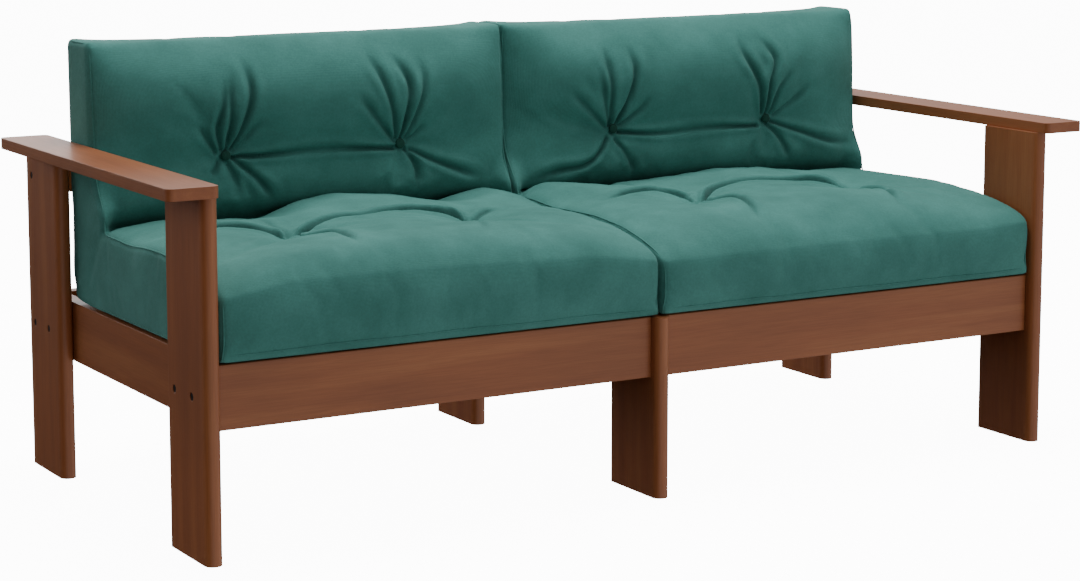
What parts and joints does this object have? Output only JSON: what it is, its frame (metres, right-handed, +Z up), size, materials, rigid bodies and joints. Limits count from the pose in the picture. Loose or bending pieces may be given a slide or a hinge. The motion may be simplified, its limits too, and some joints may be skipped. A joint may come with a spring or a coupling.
{
  "type": "futon sofa bed",
  "caption": "Wooden plank-leg sofa with flat armrests and tufted teal futon modules; the slatted deck pulls forward and the backs fold down to make a bed.",
  "frame": {"origin": "centre of the bounding box's bottom face, on the floor", "axes": "+X along the sofa to the right as seen from the front, +Y to the back, +Z up"},
  "size_m": [1.9, 0.85, 0.806],
  "materials": {
    "stained_wood": "satin red-brown stain",
    "slat_wood": "planed, unstained",
    "dowel_wood": "fluted, unfinished",
    "futon_fabric": "matt brushed cotton, teal",
    "button_fabric": "matt cotton, dark green",
    "zinc_steel": "zinc plated",
    "black_steel": "blackened"
  },
  "bodies": {
    "base": {"leg_front_left": "stained_wood", "leg_front_right": "stained_wood", "leg_rear_left": "stained_wood", "leg_rear_right": "stained_wood", "leg_rear_centre": "stained_wood", "side_rail_left": "stained_wood", "side_rail_right": "stained_wood", "rear_rail_left": "stained_wood", "rear_rail_right": "stained_wood", "back_rail": "stained_wood", "front_bearer": "slat_wood", "front_cleat": "slat_wood", "centre_beam": "slat_wood", "rear_cleat_left": "slat_wood", "rear_cleat_right": "slat_wood", "arm_left": "stained_wood", "arm_right": "stained_wood", "slide_channel_left": "zinc_steel", "slide_channel_right": "zinc_steel", "fixed_slat_1": "slat_wood", "fixed_slat_2": "slat_wood", "fixed_slat_3": "slat_wood", "fixed_slat_4": "slat_wood", "fixed_slat_5": "slat_wood", "fixed_slat_6": "slat_wood", "fixed_slat_7": "slat_wood", "fixed_slat_8": "slat_wood", "back_slat_1": "slat_wood", "back_slat_2": "slat_wood", "back_slat_3": "slat_wood", "back_slat_4": "slat_wood", "back_slat_5": "slat_wood", "back_slat_6": "slat_wood", "back_slat_7": "slat_wood", "back_slat_8": "slat_wood", "leg_bolts": "black_steel", "arm_dowels": "dowel_wood"},
    "pull_out": {"leg_front_centre": "stained_wood", "front_rail_left": "stained_wood", "front_rail_right": "stained_wood", "deck_cleat_left": "slat_wood", "deck_cleat_right": "slat_wood", "slide_bar_left": "zinc_steel", "slide_bar_right": "zinc_steel", "sliding_slat_1": "slat_wood", "sliding_slat_2": "slat_wood", "sliding_slat_3": "slat_wood", "sliding_slat_4": "slat_wood", "sliding_slat_5": "slat_wood", "sliding_slat_6": "slat_wood", "sliding_slat_7": "slat_wood", "sliding_slat_8": "slat_wood", "futon_seat_left": "futon_fabric", "futon_seat_right": "futon_fabric", "rail_dowels": "dowel_wood"},
    "futon_back_left": {"futon_back_left": "futon_fabric", "buttons_left": "button_fabric"},
    "futon_back_right": {"futon_back_right": "futon_fabric", "buttons_right": "button_fabric"}
  },
  "joints": [
    {"name": "deck_slide", "type": "slide", "parent": "base", "child": "pull_out", "axis": [0, -1, 0], "range_m": [0, 0.55]},
    {"name": "back_fold_left", "type": "hinge", "parent": "pull_out", "child": "futon_back_left", "pos_m": [-0.4265, 0.315, 0.338], "axis": [-1, 0, 0], "range_deg": [0, 88]},
    {"name": "back_fold_right", "type": "hinge", "parent": "pull_out", "child": "futon_back_right", "pos_m": [0.4265, 0.315, 0.338], "axis": [-1, 0, 0], "range_deg": [0, 88]}
  ],
  "couplings": [
    {"joint": "back_fold_left", "follows": "deck_slide", "rad_per_m": 2.78},
    {"joint": "back_fold_right", "follows": "deck_slide", "rad_per_m": 2.78}
  ]
}
